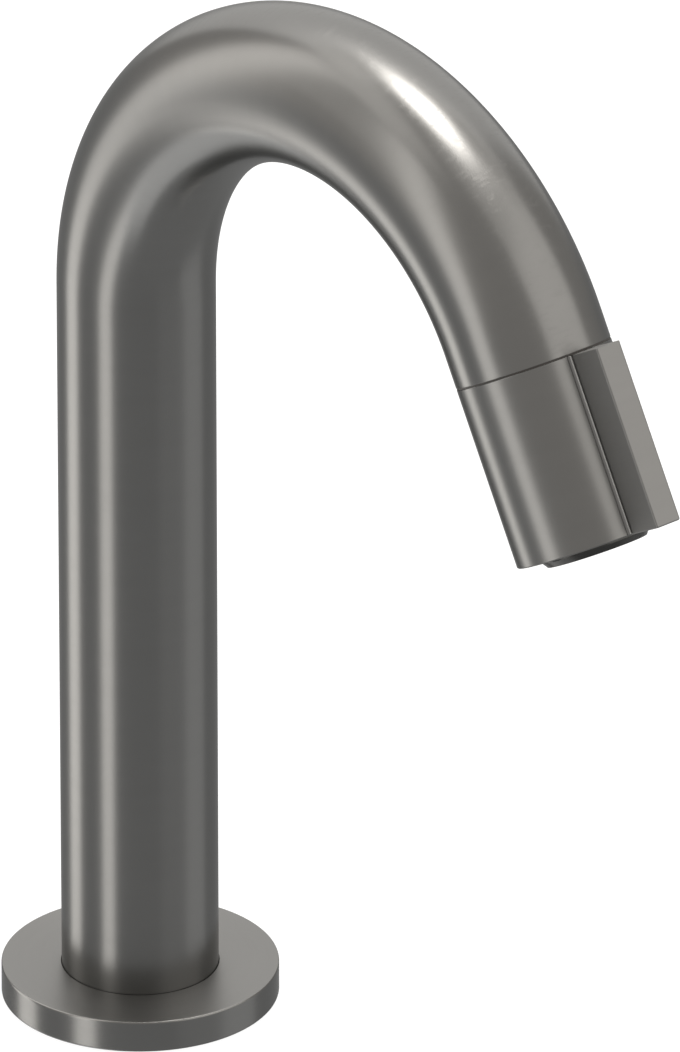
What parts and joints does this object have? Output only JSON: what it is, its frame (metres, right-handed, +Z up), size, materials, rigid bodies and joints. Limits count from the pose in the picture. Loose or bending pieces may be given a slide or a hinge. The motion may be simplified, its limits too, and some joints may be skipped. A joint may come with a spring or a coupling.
{
  "type": "basin tap",
  "caption": "Swan-neck basin tap on a round rosette, opened by a sleeve handle with a flat lever bar round its outlet.",
  "frame": {"origin": "centre of the rosette's underside, on the deck's surface and on the post's axis", "axes": "+Z up along the post, -Y towards the basin under the spout, +X to the right as seen from the front"},
  "size_m": [0.0494, 0.1633, 0.2595],
  "materials": {
    "gunmetal": "fine brushed dark grey metal, satin",
    "brass": "turned, bare",
    "stainless": "stamped, bare",
    "rubber": "moulded, matt black",
    "ceramic": "lapped, white",
    "dark_plastic": "moulded, matt near black",
    "grey_plastic": "moulded, mid grey",
    "dark_metal": "dark satin coat"
  },
  "bodies": {
    "tap_body": {"body_tube": "gunmetal", "rosette": "gunmetal", "rosette_gasket": "rubber", "foot_seal": "rubber", "shank_seal": "rubber", "under_deck_washer": "rubber", "sleeve_ring": "rubber", "housing_ring": "rubber", "seat_seal": "rubber", "base_plug": "brass", "spout_nose": "brass", "cartridge_housing": "brass", "threaded_shank": "brass", "lock_nut": "brass", "clamp_washer": "stainless", "fixed_disc": "ceramic", "glide_ring": "dark_plastic"},
    "handle": {"handle_sleeve": "gunmetal", "spindle": "brass", "turning_disc": "ceramic", "spindle_rings": "rubber", "glide_washer": "dark_plastic", "spindle_circlip": "stainless", "handle_nut": "brass", "aerator_seal": "rubber", "aerator_shell": "dark_metal", "aerator_insert": "grey_plastic", "aerator_screen": "stainless", "flow_regulator": "grey_plastic"}
  },
  "joints": [
    {"name": "handle_turn", "type": "hinge", "parent": "tap_body", "child": "handle", "pos_m": [0, -0.10394, 0.16078], "axis": [0, -0.4848, -0.8746], "range_deg": [0, 90]}
  ]
}
